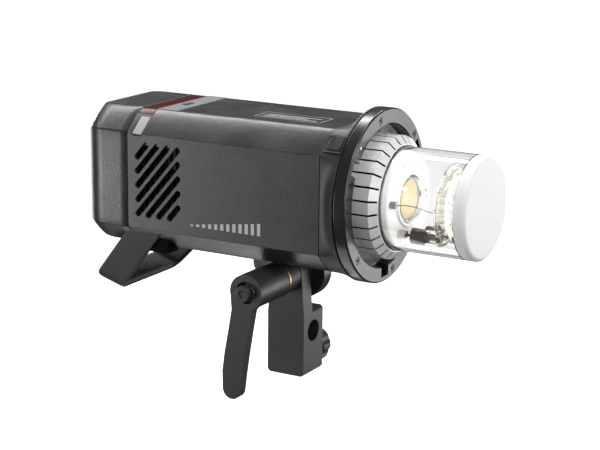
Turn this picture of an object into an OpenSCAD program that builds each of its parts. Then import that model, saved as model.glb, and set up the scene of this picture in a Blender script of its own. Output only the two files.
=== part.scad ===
// Monolight strobe: a battery flash head on a tilting stand bracket.
// X is the light axis (front positive), Y is the lamp's left, Z is up.
// The origin is the centre of the stand socket's mouth.

/* [Housing] */
// Half width between the two side panels' outer faces
side_y = 54; // [52:0.5:56]
// Lower and upper ends of the flat sides
side_z = [106, 176]; // [90:1:200]
// Half widths of the flat bottom and of the flat top
flat_y = [37, 36]; // [30:1:40]
// Heights of the bottom face and of the top face
case_z = [90, 192]; // [80:1:200]
// Rear end of the rear cap
rear_x = -154.5; // [-160:0.5:-150]
// Seam between the shells and the rear cap
seam_x = -111.5; // [-114:0.5:-110]
// Front end of the shells
shell_front_x = 48.6; // [47:0.1:50]
// Wall thickness of the shells
wall = 2.6; // [2:0.1:3]
// Thickness of the side panels
panel_t = 2; // [1.5:0.1:2.2]
// Radius of the rear corners, seen from above
rear_corner_r = 20; // [14:1:24]

/* [Light axis] */
// Height of the light axis
opt_z = 141; // [141:0.5:141]
// Outer radius of the bayonet ring
ring_r = 62.5; // [62:0.1:63]
// Opening radius of the bayonet ring
ring_bore_r = 51; // [50.5:0.1:51.5]
// Rear and front faces of the bayonet ring
ring_x = [63.6, 73]; // [60:0.1:75]
// Width and depth of the ring's claw notches
notch = [10.4, 7.4]; // [5:0.1:12]
// Radius of the finned drum
drum_r = 44; // [43:0.1:44.5]
// Rear and front faces of the drum
drum_x = [26, 86]; // [20:0.5:90]
// Number of fins round the drum
fin_count = 28; // [20:1:36]
// Outer radius of the glass dome
dome_r = 36.8; // [36:0.1:37.5]
// Front end of the glass dome
dome_front_x = 149.8; // [145:0.1:155]

/* [Tilt joint] */
// Height of the tilt axis
tilt_z = 76; // [75:0.5:77]
// Radius of the tilt bolt
bolt_r = 4; // [3:0.5:5]
// Radius of the bracket's tongue round the bolt
tongue_r = 13; // [11:0.5:13.4]
// Radius of the head's ear round the bolt
ear_r = 22; // [20:0.5:22]
// Radius of the lever's hub
hub_r = 13; // [11:0.5:13]

/* [Stand bracket] */
// Half width of the block along X
block_x = 15.25; // [14:0.25:15.5]
// Half depth of the block along Y
block_y = 14.2; // [13:0.1:15]
// Height of the block's shoulder
shoulder_z = 48.8; // [45:0.1:49]
// Radius of the stand socket and of the cross hole
socket_r = 8.2; // [8:0.1:8.4]
// Depth of the stand socket
socket_depth = 22; // [18:0.5:22.5]
// Height of the cross hole
cross_z = 32.6; // [32:0.1:34]
// Height of the clamp knob's axis
knob_z = 13; // [12:0.5:14]
// Radius of the clamp knob
knob_r = 14; // [12:0.5:14]

/* [Carrying handle] */
// Half width of the handle's bar and of its leg tops
handle_y = [40, 51.6]; // [30:0.5:52]
// Thickness of the outer strap and of the grip liner
strap_t = [4, 2]; // [1:0.5:5]
// Lean of the strap's width, in degrees
handle_lean = 16; // [10:1:20]

/* [Hidden] */
$fn = 64;
fit = 0.06;
gap = 0.3;
nothing = 0.02;

// Battery bay in the top of the upper shell: low and high corners of the opening.
bay_x = [-97.2, -36];
bay_y = 34;
bay_floor_z = 148;
strip_front_x = -80.5;
latch_size = [5, 11];
latch_at = [-90, -6];
red_x = [-111.2, -98];
// The white status window's stretch along X and up the side.
status_x = [-107, -99];
status_z = [174.6, 187];
// Vent slots in the side panels.
vent_low = [-104.3, 114.7];
vent_high = [-66, 169.9];
vent_angle = 48.8;
vent_pitch_z = 10.62;
vent_first_z = 157.5;
vent_r = 2.3;
vent_count = 8;
// Release slider on the near upper chamfer.
slider_at = [56, -45.6, 183.9];
slider_size = [10.2, 11.5];
slider_front = 6;
slider_travel = 2.2;
pin_polar = [56.6, 44];
// Tilt joint, from the lever's face (near, negative Y) to the ear's cap (far).
lever_face_y = -70.5;
arm_inner_y = -63.5;
hub_end_y = -31;
washer_t = 1.6;
chamber_y = [-66.3, -50];
cap_y = [-75.5, -71];
tongue_y = -1.5;
block_bevel = 2;
rosette_y = [0.9, 1.2];
ear_y = [3.5, 15];
rosette_r = 12.4;
ear_heel = [-29, 77, 10];
// Flash head.
plate_x = [86.2, 91];
lens_r = 17.2;
lens_h = 12;
lens_t = 1.6;
tube_plane_x = 128;
tube_ring_r = 25;
tube_r = 5.5;
tube_gap_deg = 86;
tube_mid_deg = 261;
spare_post = [20.5, 142];
wire_post = [-28.5, 142.4];
tube_bend_r = 8;
electrode_x = [102, 113];
// Rear controls: places on the rear panel, as Y and Z.
panel_x = [-156, -153.4];
key_z = 132;
key_pitch = 14;
dial_at = [0, 112];
dial_r = 13;
test_at = [-27, 120];
power_at = [27, 120];
jack_at = [-27, 104.5];
usb_at = [27, 104.5];
jack_r = 1.8;

// Direction helpers: extrude a Y-Z outline along X, or an X-Z outline along Y.
module along_x(x0, x1) translate([x0, 0, 0]) rotate([90, 0, 90]) linear_extrude(x1 - x0) children();
module along_y(y0, y1) translate([0, y1, 0]) rotate([90, 0, 0]) linear_extrude(y1 - y0) children();
// Spin a (radius, X) outline round the light axis, or a (radius, Y) outline round the bolt.
module spin_x() translate([0, 0, opt_z]) rotate([0, 90, 0]) rotate_extrude() children();
module spin_y(x = 0, z = tilt_z) translate([x, 0, z]) rotate([-90, 0, 0]) rotate_extrude() children();
module rod_x(x0, x1, r, y = 0, z = opt_z)
    translate([x0, y, z]) rotate([0, 90, 0]) cylinder(h = x1 - x0, r = r);
module rod_y(y0, y1, r, x = 0, z = tilt_z)
    translate([x, y0, z]) rotate([-90, 0, 0]) cylinder(h = y1 - y0, r = r);
module box(low, high) translate(low) cube(high - low);
module ring2d(r0, r1, x0, x1) polygon([[r0, x0], [r1, x0], [r1, x1], [r0, x1]]);

function arc(c, r, a0, a1, n = 6) =
    [for (i = [0:n]) let(a = a0 + (a1 - a0) * i / n) c + r * [cos(a), sin(a)]];
function unit(v) = v / norm(v);
// The outline round two circles and the tangents that join them, the first circle being the larger.
function belt(c1, r1, c2, r2) = let(d = c2 - c1, a = atan2(d[1], d[0]), b = acos((r1 - r2) / norm(d)))
    concat(arc(c1, r1, a + b - 360, a - b, 28), arc(c2, r2, a - b, a + b, 16));

// The housing's outline, moved inwards by t on every face.
function shift(t, angle) = t * tan(angle / 2);
top_slope = atan2(case_z[1] - side_z[1], side_y - flat_y[1]);
low_slope = atan2(side_z[0] - case_z[0], side_y - flat_y[0]);
function half_outline(t) = [
    [flat_y[0] - shift(t, low_slope), case_z[0] + t],
    [side_y - t, side_z[0] + shift(t, 90 - low_slope)],
    [side_y - t, side_z[1] - shift(t, 90 - top_slope)],
    [flat_y[1] - shift(t, top_slope), case_z[1] - t]];
function mirrored(points) = [for (i = [len(points) - 1:-1:0]) [-points[i][0], points[i][1]]];
module case_outline(t = 0) polygon(concat(half_outline(t), mirrored(half_outline(t))));

// A round tube swept along points, as one polyhedron. Each ring's first point is carried on from
// the last ring's, so that the tube doesn't twist.
function tangent_at(p, i) = unit(p[min(i + 1, len(p) - 1)] - p[max(i - 1, 0)]);
function across(t, u) = unit(u - (u * t) * t);
function carried(p, i = 0, u = [0.3, 0.5, 0.8], out = []) = i == len(p) ? out
    : let(v = across(tangent_at(p, i), u)) carried(p, i + 1, v, concat(out, [v]));
module sweep(p, r, sides = 8) {
    us = carried(p);
    rings = [for (i = [0:len(p) - 1]) let(v = cross(tangent_at(p, i), us[i]))
        for (k = [0:sides - 1]) p[i] + r * (cos(360 * k / sides) * us[i] + sin(360 * k / sides) * v)];
    n = len(p);
    walls = [for (i = [0:n - 2], k = [0:sides - 1])
        [i * sides + k, (i + 1) * sides + k, (i + 1) * sides + (k + 1) % sides, i * sides + (k + 1) % sides]];
    start = [for (k = [0:sides - 1]) k];
    end = [for (k = [sides - 1:-1:0]) (n - 1) * sides + k];
    polyhedron(rings, concat([start], walls, [end]));
}

// ---- Stand bracket ----

module stand_block() color("dimgray") difference() {
    union() {
        along_y(-block_y, block_y)
            polygon(let(x = block_x, b = block_bevel, z = shoulder_z)
                [[b - x, 0], [x - b, 0], [x, b], [x, z - b], [x - b, z], [b - x, z], [-x, z - b], [-x, b]]);
        along_y(-block_y, tongue_y) union() {
            polygon(let(z = shoulder_z - block_bevel)
                [[-block_x, z], [block_x, z], [tongue_r, tilt_z], [-tongue_r, tilt_z]]);
            translate([0, tilt_z]) circle(tongue_r);
        }
    }
    translate([0, 0, -1]) cylinder(h = socket_depth + 1, r = socket_r);
    rod_x(-20, 20, socket_r, 0, cross_z);
    rod_y(4, 20, 4.5 + fit, 0, knob_z);
    rod_y(-20, 5, bolt_r + fit);
}

module toothed_disc(y0, y1, tooth_side) difference() {
    rod_y(y0, y1, rosette_r);
    rod_y(y0 - 1, y1 + 1, bolt_r + fit);
    for (i = [0:23]) translate([0, 0, tilt_z]) rotate([0, i * 15, 0])
        box([7, tooth_side > 0 ? y1 - 0.8 : y0 - 1, -0.5], [14, tooth_side > 0 ? y1 + 1 : y0 + 0.8, 0.5]);
}
module block_rosette() color("lightsteelblue") toothed_disc(tongue_y, rosette_y[0], 1);
module ear_rosette() color("lightsteelblue") toothed_disc(rosette_y[1], ear_y[0], -1);

module clamp_pad() color("goldenrod") rod_y(8.8, 11.4, 4.5, 0, knob_z);

module clamp_knob() color("#222222") union() {
    rod_y(11.8, 17.4, 4.5, 0, knob_z);
    difference() {
        spin_y(0, knob_z)
            polygon([[0, 17.2], [9, 17.2], [knob_r, 19.5], [knob_r, 29.5], [12.5, 32], [0, 32]]);
        for (i = [0:7]) translate([0, 0, knob_z]) rotate([0, i * 45 + 22.5, 0]) translate([knob_r + 3, 0, 0])
            rod_y(16, 33, 5, 0, 0);
    }
}

// ---- Tilt lock ----

module tilt_bolt() color("silver") rod_y(cap_y[1], ear_y[1] - 0.3, bolt_r);

module bolt_cap() color("#1a1a1a") spin_y() polygon([[0, cap_y[0] + 0.6], [2, cap_y[0] + 0.6],
    [2.6, cap_y[0]], [5.4, cap_y[0]], [6.2, cap_y[0] + 0.8], [6.2, cap_y[1]], [0, cap_y[1]]]);

module brass_washer() color("goldenrod")
    spin_y() ring2d(bolt_r + fit, hub_r + 0.4, hub_end_y + nothing, hub_end_y + washer_t);

module lever_collar() color("#303030")
    spin_y() ring2d(bolt_r + fit, hub_r - 0.4, hub_end_y + washer_t, -block_y - nothing);

// The arm hangs from the hub and leans to the rear, with a round tip.
arm_tip = [-11.6, 3];
arm_tip_r = 7.6;
module arm_outline() polygon(concat(
    [[-12.6, 73], [-11.8, 62], [-14.6, 46], [-17.6, 30], [-19.4, 16]],
    arc(arm_tip, arm_tip_r, 180, 355, 12),
    [[-2.6, 14], [-0.6, 28], [2.2, 45], [5.4, 63], [11, 70]]));
module tilt_lever() color("dimgray") difference() {
    union() {
        rod_y(lever_face_y, hub_end_y, hub_r);
        along_y(lever_face_y, arm_inner_y) arm_outline();
    }
    rod_y(lever_face_y - 1, chamber_y[0], 8);
    rod_y(chamber_y[0] - 1, chamber_y[1], 6);
    rod_y(chamber_y[1] - 1, hub_end_y + 1, bolt_r + fit);
}

spring_turns = 6;
spring_steps = 12;
spring_coil_r = 4.95;
spring_wire_r = 0.55;
module lever_spring() color("silver") let(
        y0 = cap_y[1] + 0.7,
        y1 = chamber_y[1] - 0.7,
        count = spring_turns * spring_steps)
    sweep([for (i = [0:count]) let(a = 360 * i / spring_steps)
        [spring_coil_r * cos(a), y0 + (y1 - y0) * i / count, tilt_z + spring_coil_r * sin(a)]],
        spring_wire_r, 6);

// ---- Ear of the head ----

module head_ear() color("#2c2c2e") difference() {
    along_y(ear_y[0], ear_y[1]) difference() {
        polygon(belt([0, tilt_z], ear_r, [ear_heel[0], ear_heel[1]], ear_heel[2]));
        translate([-60, case_z[0]]) square([120, 40]);
    }
    rod_y(0, 20, bolt_r + fit);
}
module ear_cap() color("#141414") difference() {
    spin_y()
        polygon([[0, ear_y[1]], [19.5, ear_y[1]], [19.5, 19], [17.5, 21], [9, 21], [8, 20.2], [0, 20.2]]);
    // Flat where it meets the housing's floor.
    box([-25, ear_y[1] - 1, case_z[0] - 0.02], [25, 25, case_z[0] + 10]);
}

// ---- Housing ----

module shell_solid() difference() {
    along_x(seam_x, shell_front_x) case_outline();
    along_x(seam_x - 1, shell_front_x - wall) case_outline(wall);
    rod_x(0, 60, ring_bore_r - 2.6);
    for (s = [-1, 1]) box([seam_x - 1, s > 0 ? side_y - panel_t : -side_y - 1, side_z[0]],
        [shell_front_x + 1, s > 0 ? side_y + 1 : -side_y + panel_t, side_z[1]]);
    // Openings behind the vents.
    for (s = [-1, 1]) translate([0, s * side_y, 0])
        box([vent_low[0] - 1, -5, vent_low[1] - 1], [vent_high[0] + 1, 5, vent_high[1] + 1]);
}
screw_places = [for (x = [-70, 36], y = [-28, 28]) [x, y]];
module lower_shell() color("#29292b") difference() {
    shell_solid();
    box([-200, -80, opt_z], [100, 80, 260]);
    for (p = screw_places) translate([p[0], p[1], case_z[0] - 1]) cylinder(h = 5, r = 3.1);
}
module upper_shell() color("#29292b") difference() {
    shell_solid();
    box([-200, -80, 0], [100, 80, opt_z + nothing]);
    box([bay_x[0], -bay_y, 170], [bay_x[1], bay_y, 200]);
    band_part(red_x[0] - 1, red_x[1] + 0.1, 1.62, 187.9);
    status_part(0.1, 1.42);
}
module shell_screws() color("silver") for (p = screw_places)
    translate([p[0], p[1], case_z[0] + 0.4]) difference() {
        cylinder(h = 2.1, r = 3);
        translate([0, 0, -1]) cylinder(h = 2, r = 1.4, $fn = 6);
    }

// A stretch of the housing's skin, t deep, above height z0.
module band_part(x0, x1, t, z0) along_x(x0, x1) difference() {
    case_outline(-0.02);
    case_outline(t);
    translate([-80, 0]) square([160, z0]);
}
module status_part(grow, t) along_x(status_x[0] - grow, status_x[1] + grow) difference() {
    case_outline(-0.3);
    case_outline(t);
    translate([-80, 0]) square([160, status_z[0] - grow]);
    translate([-80, status_z[1] + grow]) square([160, 60]);
    translate([0, 0]) square([80, 260]);
}
module red_window() color("darkred") difference() {
    along_x(red_x[0], red_x[1]) difference() {
        case_outline();
        case_outline(1.6);
        translate([-80, 0]) square([160, 188]);
    }
    status_part(0.1, 3);
}
module status_window() color("#e6e4f2") status_part(0, 1.4);

// One slanted vent slot: a line cut to the vents' rectangle, with round ends.
function slot_z(k, x) = vent_first_z - vent_pitch_z * k + tan(vent_angle) * (x - vent_low[0]);
function slot_x(k, z) = vent_low[0] + (z - vent_first_z + vent_pitch_z * k) / tan(vent_angle);
module vent_slot(k) {
    x0 = max(vent_low[0], slot_x(k, vent_low[1])) + vent_r * 0.7;
    x1 = min(vent_high[0], slot_x(k, vent_high[1])) - vent_r * 0.7;
    len = (x1 - x0) / cos(vent_angle);
    translate([x0, slot_z(k, x0)]) rotate(vent_angle) union() {
        translate([0, -vent_r]) square([len, 2 * vent_r]);
        circle(vent_r);
        translate([len, 0]) circle(vent_r);
    }
}
module side_panel(y0) color("#3a3a3c") difference() {
    along_y(y0, y0 + panel_t - 0.02) difference() {
        translate([seam_x + 0.3, side_z[0] + 0.1])
            square([shell_front_x - seam_x - 0.6, side_z[1] - side_z[0] - 0.2]);
        for (k = [0:vent_count - 1]) vent_slot(k);
    }
    status_part(0.1, 4);
}
module side_panel_near() side_panel(-side_y);
module side_panel_far() side_panel(side_y - panel_t + 0.02);

module vent_mesh() color("#0c0c0c") for (s = [-1, 1]) difference() {
    box([vent_low[0] - 0.8, s * (side_y - panel_t - 1) - 0.3, vent_low[1] - 0.8],
        [vent_high[0] + 0.8, s * (side_y - panel_t - 1) + 0.3, vent_high[1] + 0.8]);
    for (i = [0:7]) translate([-102 + 4.8 * i, s * (side_y - panel_t - 1) - 1, 118]) cube([2, 2, 50]);
}

// ---- Front ----

module front_flange() color("#5a5a5c") difference() {
    union() {
        intersection() {
            along_x(shell_front_x, ring_x[0] - 2) case_outline();
            rod_x(shell_front_x, ring_x[0] - 2, ring_r);
        }
        spin_x() polygon([[40, shell_front_x], [51.5, shell_front_x], [58, 56], [61.8, 60.5], [ring_r, 61.6],
            [ring_r, ring_x[0] - 0.6], [40, ring_x[0] - 0.6]]);
    }
    rod_x(40, 52, ring_bore_r - 2.6);
    rod_x(51.9, 80, ring_bore_r + 1.3);
    slider_frame_space(0.05);
    translate([0, 0, opt_z]) rotate([pin_polar[1], 0, 0]) box([50, -2.5, 51.5], [80, 2.5, 59.5]);
}
// The cup wall steps out to the ring's opening.
module cup_wall() color("silver") spin_x() polygon([[30, 24.2], [48.2, 24.2], [48.2, 52], [52.2, 52],
    [52.2, ring_x[0] - 0.1], [51.1, ring_x[0] - 0.1], [51.1, 53.2], [47.1, 53.2], [47.1, 25.8], [30, 25.8]]);

module bayonet_ring() color("#4a4a4c") difference() {
    spin_x() polygon([[ring_bore_r, ring_x[0]], [ring_r - 0.6, ring_x[0]], [ring_r, ring_x[0] + 0.6],
        [ring_r, ring_x[1] - 0.8], [ring_r - 0.8, ring_x[1]], [ring_bore_r + 0.8, ring_x[1]],
        [ring_bore_r, ring_x[1] - 0.8]]);
    for (i = [0:2]) translate([0, 0, opt_z]) rotate([60 + 120 * i, 0, 0])
        box([50, -notch[0] / 2, ring_bore_r - 3], [90, notch[0] / 2, ring_bore_r + notch[1]]);
    for (i = [0:5]) ring_hole(i, ring_x[1] - 2.6, 90, 2.6);
    translate([0, 0, opt_z]) rotate([pin_polar[1], 0, 0]) rod_x(50, 90, 1.5 + gap, 0, pin_polar[0]);
}
module ring_hole(i, x0, x1, r) translate([0, 0, opt_z]) rotate([12 + 60 * i, 0, 0])
    rod_x(x0, x1, r, 0, 56.6);
module ring_screws() color("#8a8a8e") for (i = [0:5]) difference() {
    ring_hole(i, ring_x[1] - 2.6, ring_x[1] - 0.4, 2.5);
    translate([0, 0, opt_z]) rotate([12 + 60 * i, 0, 0]) translate([ring_x[1] - 1.6, 0, 56.6])
        rotate([0, 90, 0]) cylinder(h = 3, r = 1.3, $fn = 6);
}

// The release slider sits square to the near upper chamfer.
module on_chamfer() translate(slider_at) rotate([top_slope, 0, 0]) children();
module slider_frame_space(grow) on_chamfer()
    translate([-7.3 - grow, -7.6 - grow, -9 - grow]) cube([14.2 + grow, 15.2 + 2 * grow, 14]);
module pin_line(x0, x1, r) translate([0, 0, opt_z]) rotate([pin_polar[1], 0, 0])
    rod_x(x0, x1, r, 0, pin_polar[0]);
module release_frame() color("#3c3c3e") difference() {
    on_chamfer() difference() {
        translate([-7.3, -7.6, -8]) cube([14.2, 15.2, 8.4]);
        translate([slider_front - slider_size[0] - slider_travel - gap, -slider_size[1] / 2 - gap, -6.8])
            cube([slider_size[0] + slider_travel + 2 * gap, slider_size[1] + 2 * gap, 9]);
    }
    pin_line(50, 70, 1.75);
}
module release_slider() color("#101010") on_chamfer()
    translate([slider_front - slider_size[0], 0, 0]) difference() {
        translate([0, -slider_size[1] / 2, -6.4]) cube([slider_size[0], slider_size[1], 7.6]);
        for (i = [0:4]) translate([0.6 + 2.1 * i, -7, 0.6]) cube([0.8, 14, 1]);
    }
module lock_pin() color("silver") pin_line(62.6, ring_x[1] - 0.3, 1.5);

module fin_drum() color("#d8dade") difference() {
    spin_x() polygon([[34, drum_x[0]], [drum_r, drum_x[0]], [drum_r, drum_x[1] - 5], [38.2, drum_x[1]],
        [6, drum_x[1]], [6, drum_x[1] - 6], [34, drum_x[1] - 6]]);
    for (i = [0:fin_count - 1]) translate([0, 0, opt_z]) rotate([360 * (i + 0.5) / fin_count, 0, 0])
        box([drum_x[0] + 3, -0.7, 38.6], [drum_x[1] + 1, 0.7, drum_r + 1]);
}

// ---- Flash head ----

module base_plate() color("#f2f2f0") difference() {
    spin_x() polygon(let(x = plate_x[1], r = lens_r + 0.2)
        [[0, plate_x[0]], [34, plate_x[0]], [34, x - 0.8], [33.2, x], [r + 1.8, x], [r + 1.8, x + 1.6],
        [r, x + 1.6], [r, x - 1], [0, x - 1]]);
    for (a = [-22, 22]) translate([0, 0, opt_z]) rotate([a, 0, 0]) rod_x(plate_x[1] - 1, 100, 1.7, 0, 26);
    // The lens seat is notched beside the spare post.
    rod_x(plate_x[1], 100, 3.1, spare_post[0], spare_post[1]);
}
module led_chip() color("khaki") rod_x(plate_x[1] - 1, plate_x[1] + 0.6, 14);
// The lens is a shallow glass cap standing on the base plate.
module led_lens() color([0.9, 0.95, 1, 0.35]) spin_x() let(
        x = plate_x[1] - 1,
        ball = (pow(lens_r, 2) + pow(lens_h, 2)) / 2 / lens_h,
        inner = ball - lens_t,
        c = [0, x + lens_h - ball])
    polygon(concat(arc(c, ball, asin((x - c[1]) / ball), 90, 12),
        arc(c, inner, 90, asin((x - c[1]) / inner), 12)));

// The glass tube is a ring with a gap; each end bends back to a leg that points at the base.
tube_sides = [-1, 1];
function leg(s) = let(a = tube_mid_deg - s * tube_gap_deg / 2, t = s * tube_bend_r)
    [tube_ring_r * cos(a) - t * sin(a), opt_z + tube_ring_r * sin(a) + t * cos(a)];
// One side of the tube: from the leg's end, round the bend, on to the middle of the ring.
function tube_half(s) = let(a = tube_mid_deg - s * tube_gap_deg / 2, l = leg(s), b = tube_bend_r)
    concat([[electrode_x[1], l[0], l[1]]],
        [for (i = [0:5]) let(q = 90 * i / 6, k = s * b * (1 - cos(q)))
            [tube_plane_x - b + b * sin(q), l[0] + k * sin(a), l[1] - k * cos(a)]],
        [for (i = [0:18]) let(q = a - s * (180 - tube_gap_deg / 2) * i / 18)
            [tube_plane_x, tube_ring_r * cos(q), opt_z + tube_ring_r * sin(q)]]);
module flash_tube() color([0.95, 0.95, 0.9, 0.4])
    sweep(concat(tube_half(-1), [for (i = [len(tube_half(1)) - 2:-1:0]) tube_half(1)[i]]), tube_r, 16);
module tube_electrodes() color("#3b2a22") for (s = tube_sides) {
    rod_x(electrode_x[0], electrode_x[1] - nothing, tube_r, leg(s)[0], leg(s)[1]);
    rod_x(plate_x[1] + 5, electrode_x[0], 1, leg(s)[0], leg(s)[1]);
}
module plug_posts() color("silver") {
    for (s = tube_sides) difference() {
        rod_x(plate_x[1], plate_x[1] + 6, 3, leg(s)[0], leg(s)[1]);
        rod_x(plate_x[1] + 4.9, plate_x[1] + 8, 1.1, leg(s)[0], leg(s)[1]);
    }
    rod_x(plate_x[1], plate_x[1] + 5, 3, spare_post[0], spare_post[1]);
}
// The trigger wire leaves its post on the base, crosses to the tube and follows it.
module trigger_wire() color("gray") {
    rod_x(plate_x[1], plate_x[1] + 5, 2.6, wire_post[0], wire_post[1]);
    sweep([[96.1, -28.5, 142.4], [101, -28.3, 143.2], [108, -27.8, 143], [115, -26.8, 141.6],
        [122, -25.4, 139.6]], 0.4, 6);
}
module glass_dome() color([0.95, 0.97, 1, 0.25]) spin_x()
    ring2d(dome_r - 2.2, dome_r, plate_x[0], 140.9);
module frosted_cap() color("#f6f6f8") spin_x() polygon(let(r = dome_r, x = dome_front_x)
    concat([[r - 2.2, 141], [r, 141]], arc([r - 3, x - 3], 3, 0, 90, 5),
    [[0, x], [0, x - 2.4], [r - 3, x - 2.4], [r - 2.2, x - 3.2]]));

// ---- Rear ----

// The rear cap has round corners seen from above, and sloped edges seen from the side.
function cap_plan(t) = let(x0 = rear_x + t, y = side_y - t, r = rear_corner_r - t)
    concat([[seam_x, -y], [seam_x, y]], arc([x0 + r, y - r], r, 90, 180, 8),
        arc([x0 + r, -y + r], r, 180, 270, 8));
module cap_solid(t, x1) intersection() {
    along_x(rear_x - 1, x1) case_outline(t);
    linear_extrude(260) translate([x1 - seam_x, 0]) polygon(cap_plan(t));
    along_y(-80, 80) polygon([[x1, 60], [x1, 220], [rear_x + 7 + t, 220], [rear_x + 7 + t, case_z[1]],
        [rear_x + t, case_z[1] - 9], [rear_x + t, case_z[0] + 9],
        [rear_x + 7 + t, case_z[0]], [rear_x + 7 + t, 60]]);
}
module rear_cap() color("#242426") difference() {
    cap_solid(0, seam_x - gap);
    cap_solid(wall, seam_x + 1);
    box([rear_x - 5, -33, case_z[0] + 10], [rear_x + 5, 33, case_z[1] - 10]);
}
module rear_panel() color("#111111") difference() {
    box([panel_x[0] + 1.4, -32.9, case_z[0] + 10.1], [panel_x[1] + 1.5, 32.9, case_z[1] - 10.1]);
    box([-160, -25, 142], [-153.6, 25, 172]);
    for (i = [0:3]) key_space(i, 0.2);
    rod_x(-170, -150, 9, dial_at[0], dial_at[1]);
    for (p = [test_at, power_at]) rod_x(-170, -150, 4 + 0.2, p[0], p[1]);
    rod_x(-170, -150, 3.6, jack_at[0], jack_at[1]);
    translate([0, usb_at[0], usb_at[1]]) box([-170, -4.6, -1.8], [-150, 4.6, 1.8]);
}
module display_window() color("#0b1a22") box([-154.5, -24.9, 142.1], [-153.6 - nothing, 24.9, 171.9]);

module key_space(i, grow) translate([0, key_pitch * (i - 1.5), key_z])
    box([-170, -4.5 - grow, -2.5 - grow], [-140, 4.5 + grow, 2.5 + grow]);
module soft_key(i) color("#3c3c3e") intersection() {
    key_space(i, 0);
    box([-156.2, -80, 0], [-150, 80, 260]);
}
module soft_key_1() soft_key(0);
module soft_key_2() soft_key(1);
module soft_key_3() soft_key(2);
module soft_key_4() soft_key(3);

module control_dial() color("#1c1c1e") difference() {
    union() {
        rod_x(-163, -155, dial_r, dial_at[0], dial_at[1]);
        rod_x(-155.1, -150, 8.8, dial_at[0], dial_at[1]);
    }
    rod_x(-170, -140, 5.6, dial_at[0], dial_at[1]);
    for (i = [0:23]) translate([0, dial_at[0], dial_at[1]]) rotate([i * 15, 0, 0])
        box([-164, -0.5, dial_r - 0.6], [-156, 0.5, dial_r + 1]);
}
module set_button() color("#4a4a4c") rod_x(-163.4, -150, 5.4, dial_at[0], dial_at[1]);
module round_key(p) rod_x(-156.2, -150, 4, p[0], p[1]);
module test_button() color("darkred") round_key(test_at);
module power_button() color("#e8e8ea") round_key(power_at);

// The socket block behind the rear panel holds the sync jack and the data port.
module jack_block() color("#202022") difference() {
    union() {
        rod_x(-155, -140, 3.4, jack_at[0], jack_at[1]);
        translate([0, usb_at[0], usb_at[1]]) box([-154.8, -4.4, -1.6], [-146, 4.4, 1.6]);
        box([-146, -34, 100.5], [-142, 34, 108.5]);
    }
    rod_x(-170, -143, jack_r, jack_at[0], jack_at[1]);
    translate([0, usb_at[0], usb_at[1]]) box([-170, -3.6, -0.9], [-147, 3.6, 0.9]);
    rod_x(-170, -130, 12, dial_at[0], dial_at[1]);
}

// ---- Battery ----

module battery_bay() color("#1a1a1a") difference() {
    box([bay_x[0] - 1.4, -bay_y - 1.4, bay_floor_z], [bay_x[1] + 1.4, bay_y + 1.4, 186]);
    box([bay_x[0], -bay_y, bay_floor_z + 1.6], [bay_x[1], bay_y, 190]);
}
module battery_pack() color("#2b2b2d") difference() {
    box([bay_x[0] + gap, -bay_y + gap, bay_floor_z + 2], [bay_x[1] - gap, bay_y - gap, case_z[1]]);
    box([bay_x[0] - 1, -80, case_z[1] - 1.6], [strip_front_x, 80, 200]);
    for (y = [-22, 22]) box([strip_front_x + 2, y - 0.7, case_z[1] - 0.8], [bay_x[1] - 4, y + 0.7, 200]);
    latch_space(0.3, 186, 200);
}
module latch_space(grow, z0, z1) box(
    [latch_at[0] - latch_size[0] / 2 - grow, latch_at[1] - latch_size[1] / 2 - grow, z0],
    [latch_at[0] + latch_size[0] / 2 + grow, latch_at[1] + latch_size[1] / 2 + grow, z1]);
module battery_strip() color("#77787c") difference() {
    box([bay_x[0] + gap, -bay_y + gap, case_z[1] - 1.6 + nothing],
        [strip_front_x - 0.2, bay_y - gap, case_z[1] + 0.3]);
    latch_space(0.3, 180, 200);
}
module battery_latch() color("#151515") latch_space(0, 188.5, case_z[1] + 0.6);

// ---- Carrying handle ----

// Middle of the handle's bar, and the strap's outline from the side: two leg tops, three low corners.
handle_pivot = [-141.2, 54.2];
handle_side = [[-83.5, 103], [-114.7, 103], [-155, 55.5], [-142.8, 37.5], [-130.5, 49.5]];
leg_top = 64.5;
bar_corner_r = 9;
// Half of the strap's outline across the lamp, moved inwards by t.
function strap_side(t) = let(
        dir = unit([handle_y[1] - handle_y[0], leg_top - bar_corner_r]),
        a = atan2(dir[1], dir[0]) - 90,
        c = [handle_y[0] - bar_corner_r, bar_corner_r])
    concat([[handle_y[1] - t, leg_top]], arc(c, bar_corner_r - t, a, -90, 6));
module strap_outline(t) polygon(concat(strap_side(t), mirrored(strap_side(t))));
module leaned() translate([handle_pivot[0], 0, handle_pivot[1]]) rotate([0, handle_lean, 0]) children();
module strap_body(t0, t1) difference() {
    intersection() {
        leaned() along_x(-60, 90) difference() {
            strap_outline(t0);
            translate([0, nothing]) strap_outline(t1);
            translate([-20, leg_top - 1]) square([40, 4]);
        }
        along_y(-80, 80) polygon(handle_side);
    }
    along_x(-200, 0) case_outline(-nothing);
}
module handle_strap() color("#2e2e30") strap_body(0, strap_t[0]);
module handle_grip() color("#1b1b1b") difference() {
    strap_body(strap_t[0] + 0.05, strap_t[0] + strap_t[1]);
    leaned()
        for (i = [-6:6]) box([-30, i * 4.5 - 0.6, strap_t[0] + strap_t[1] - 0.8], [30, i * 4.5 + 0.6, 14]);
}

// ---- Inside ----

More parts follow.
